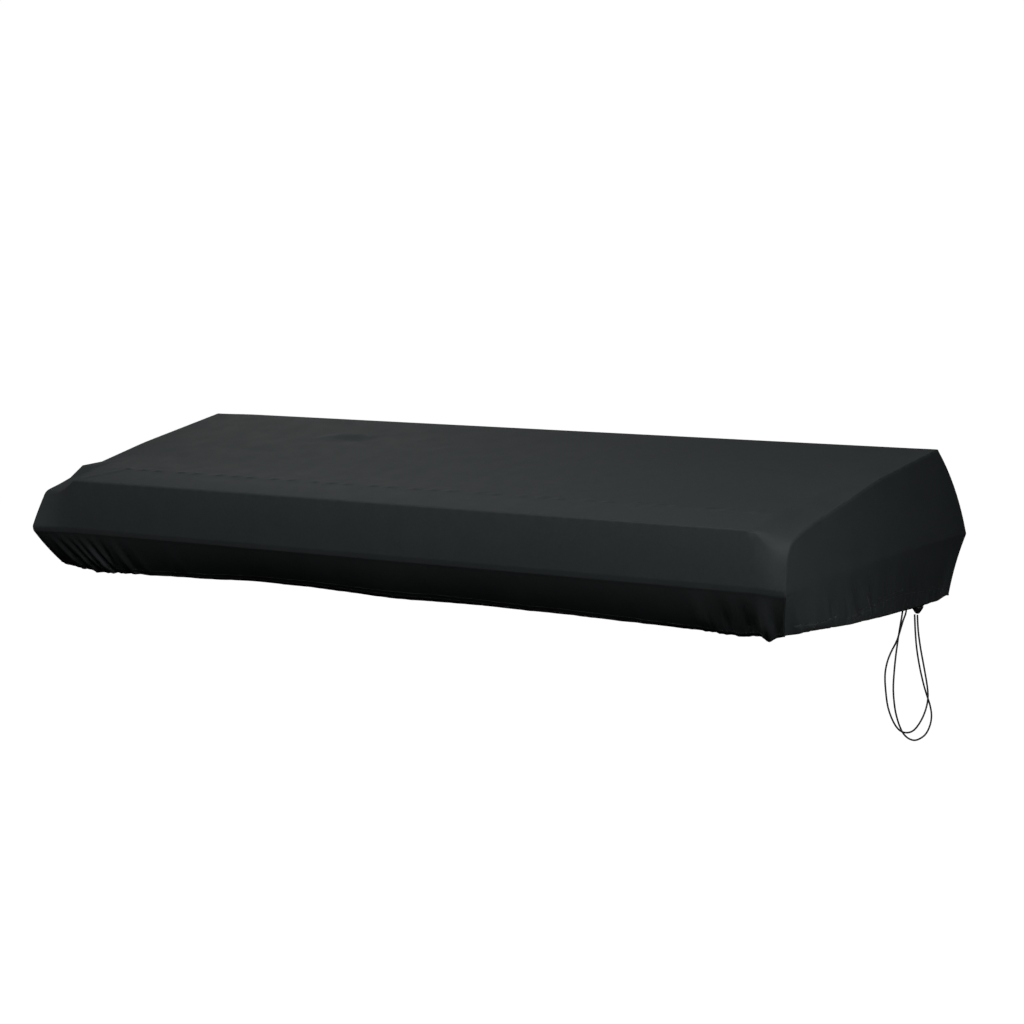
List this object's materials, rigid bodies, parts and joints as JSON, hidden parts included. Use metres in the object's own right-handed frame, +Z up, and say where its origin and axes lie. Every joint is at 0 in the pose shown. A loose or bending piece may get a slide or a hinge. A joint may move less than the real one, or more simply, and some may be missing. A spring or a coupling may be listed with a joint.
{
  "type": "keyboard dust cover",
  "caption": "Fitted stretch-cloth dust cover with a D-shaped piece at each end, a channel hem drawn in underneath by a thin cord, and the cord's loops hanging at a cord lock.",
  "frame": {"origin": "underside of the top cloth, in the middle of its length and depth, where what it covers holds it up", "axes": "+X along the cover to the right, +Y from the front to the back, +Z up"},
  "size_m": [1.1883, 0.412, 0.3512],
  "materials": {
    "stretch_cloth": "fine black knit with a little stretch, matt with a faint sheen",
    "drawcord": "thin braided cord, dark grey-green, matt",
    "cord_lock": "black moulded plastic, satin"
  },
  "bodies": {
    "root": {"main_panel": "stretch_cloth", "end_panel_left": "stretch_cloth", "end_panel_right": "stretch_cloth", "drawcord_loop_outer": "drawcord", "drawcord_loop_inner": "drawcord", "cord_lock": "cord_lock"}
  },
  "joints": []
}
